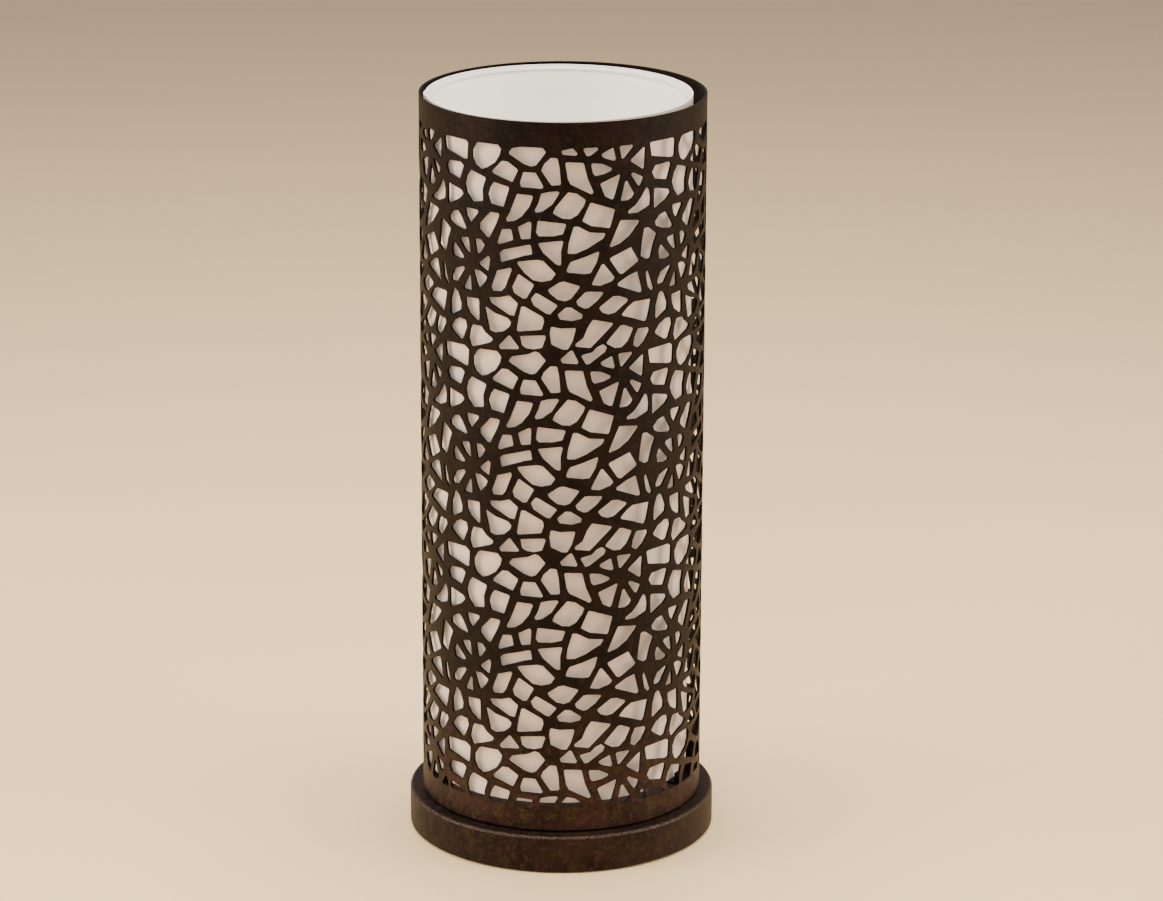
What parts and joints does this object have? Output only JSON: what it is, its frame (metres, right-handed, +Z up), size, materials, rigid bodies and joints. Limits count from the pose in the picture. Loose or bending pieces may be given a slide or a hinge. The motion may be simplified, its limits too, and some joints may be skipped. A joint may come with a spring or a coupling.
{
  "type": "table lamp",
  "caption": "Table lamp with a cut-out bronze-finish metal cylinder shade over a white fabric liner, on a round weighted base.",
  "frame": {"origin": "centre of the underside of the felt pad, on the surface the lamp stands on", "axes": "+Z up along the lamp; the front faces -Y and the cord outlet is at the back, +Y"},
  "size_m": [0.1652, 0.1652, 0.4063],
  "materials": {
    "bronze": "dark bronze-brown patina, mottled",
    "steel": "zinc-plated",
    "iron": "raw casting",
    "brass": "plain",
    "felt": "pressed felt",
    "fibreboard": "dense fibreboard",
    "black_plastic": "moulded",
    "white_plastic": "moulded, and the coating of the liner wires",
    "ceramic": "unglazed insulator",
    "liner_fabric": "off-white woven fabric on a stiff backing",
    "opal_glass": "opal"
  },
  "bodies": {
    "root": {"felt_pad": "felt", "bottom_cover": "fibreboard", "base_shell": "bronze", "base_weight": "iron", "cord_bush": "black_plastic", "shade_collar": "bronze", "collar_screw_1": "steel", "collar_screw_2": "steel", "collar_screw_3": "steel", "outer_shade": "bronze", "shade_screw_1": "bronze", "shade_screw_2": "bronze", "shade_screw_3": "bronze", "shade_nut_1": "steel", "shade_nut_2": "steel", "shade_nut_3": "steel", "threaded_tube": "steel", "upper_washer": "steel", "lower_washer": "steel", "upper_nut": "steel", "lower_nut": "steel", "lampholder_cap": "black_plastic", "lampholder_body": "black_plastic", "lampholder_insulator": "ceramic", "centre_contact": "brass", "screw_shell": "brass", "gallery": "bronze"},
    "liner_body": {"liner": "liner_fabric", "liner_lower_wire": "white_plastic", "liner_upper_wire": "white_plastic"},
    "ring_body": {"clamp_ring": "black_plastic"},
    "bulb_body": {"bulb_glass": "opal_glass", "bulb_housing": "white_plastic", "bulb_cap": "steel", "bulb_insulator": "black_plastic", "bulb_contact": "brass"}
  },
  "joints": [
    {"name": "liner_lift", "type": "slide", "parent": "root", "child": "liner_body", "axis": [0, 0, 1], "range_m": [0, 0.36]},
    {"name": "ring_turn", "type": "hinge", "parent": "root", "child": "ring_body", "pos_m": [0, 0, 0.074], "axis": [0, 0, 1], "range_deg": [0, 1080]},
    {"name": "bulb_turn", "type": "hinge", "parent": "root", "child": "bulb_body", "pos_m": [0, 0, 0.1], "axis": [0, 0, 1], "range_deg": [0, 1080]}
  ]
}
